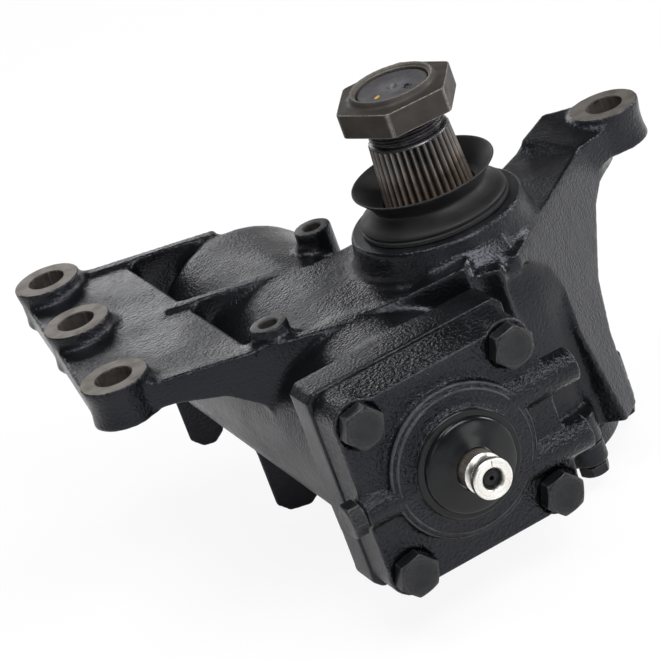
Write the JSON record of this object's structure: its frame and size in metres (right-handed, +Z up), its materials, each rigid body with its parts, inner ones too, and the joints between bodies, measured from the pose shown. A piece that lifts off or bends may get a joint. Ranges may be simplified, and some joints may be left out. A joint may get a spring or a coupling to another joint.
{
  "type": "steering gearbox",
  "caption": "Truck steering gearbox with worm, rack piston and sector shaft in a black cast housing, with mounting lugs, drop arm taper, dust boot and serrated input shaft.",
  "frame": {"origin": "on the sector shaft axis, in the plane of the four mounting lug faces", "axes": "+Z up along the sector shaft to the drop arm nut, -Y towards the input shaft along the worm, +X towards the arm lug"},
  "size_m": [0.3755, 0.3755, 0.253],
  "materials": {
    "cast_iron_black_paint": "satin black paint over rough cast iron",
    "bolt_black_paint": "satin black paint over forged steel",
    "black_pressed_cap": "semi-gloss black",
    "bright_steel": "bright machined",
    "ground_steel": "ground",
    "oiled_steel": "oiled",
    "phosphated_steel": "phosphated",
    "black_rubber": "matte"
  },
  "bodies": {
    "gear_case": {"housing": "cast_iron_black_paint", "valve_housing": "cast_iron_black_paint", "valve_housing_bolts": "bolt_black_paint", "valve_housing_seal": "black_rubber", "relief_valve_plug": "bolt_black_paint", "input_bearing": "ground_steel", "input_seal": "black_rubber", "worm_bearing_race": "ground_steel", "worm_bearing_balls": "ground_steel", "sector_upper_bearing": "ground_steel", "sector_lower_bearing": "ground_steel", "sector_seal": "black_rubber", "dust_boot": "black_rubber", "side_cover": "cast_iron_black_paint", "side_cover_bolts": "bolt_black_paint", "side_cover_seal": "black_rubber", "adjuster_screw": "ground_steel", "adjuster_lock_nut": "ground_steel"},
    "sector": {"sector_shaft": "oiled_steel", "drop_arm_nut": "phosphated_steel", "adjuster_retainer": "oiled_steel"},
    "piston": {"rack_piston": "oiled_steel", "piston_ring": "black_rubber", "recirculating_balls": "ground_steel", "ball_return_tube": "oiled_steel"},
    "worm": {"worm_shaft": "ground_steel", "torsion_bar": "ground_steel", "torsion_bar_pin": "ground_steel"},
    "input": {"input_shaft": "bright_steel", "input_dust_cap": "black_pressed_cap"}
  },
  "joints": [
    {"name": "sector_turn", "type": "hinge", "parent": "gear_case", "child": "sector", "pos_m": [0, 0, 0], "axis": [0, 0, 1], "range_deg": [-45, 45]},
    {"name": "piston_slide", "type": "slide", "parent": "gear_case", "child": "piston", "axis": [0, 1, 0], "range_m": [-0.0347, 0.0347]},
    {"name": "worm_turn", "type": "hinge", "parent": "gear_case", "child": "worm", "pos_m": [-0.078, 0, -0.068], "axis": [0, 1, 0], "range_deg": [-832, 832]},
    {"name": "valve_twist", "type": "hinge", "parent": "worm", "child": "input", "pos_m": [-0.078, -0.12, -0.068], "axis": [0, 1, 0], "range_deg": [-4, 4], "stiffness_Nm_per_rad": 60}
  ],
  "couplings": [
    {"joint": "piston_slide", "follows": "sector_turn", "m_per_rad": -0.044},
    {"joint": "worm_turn", "follows": "sector_turn", "ratio": 18.431}
  ]
}
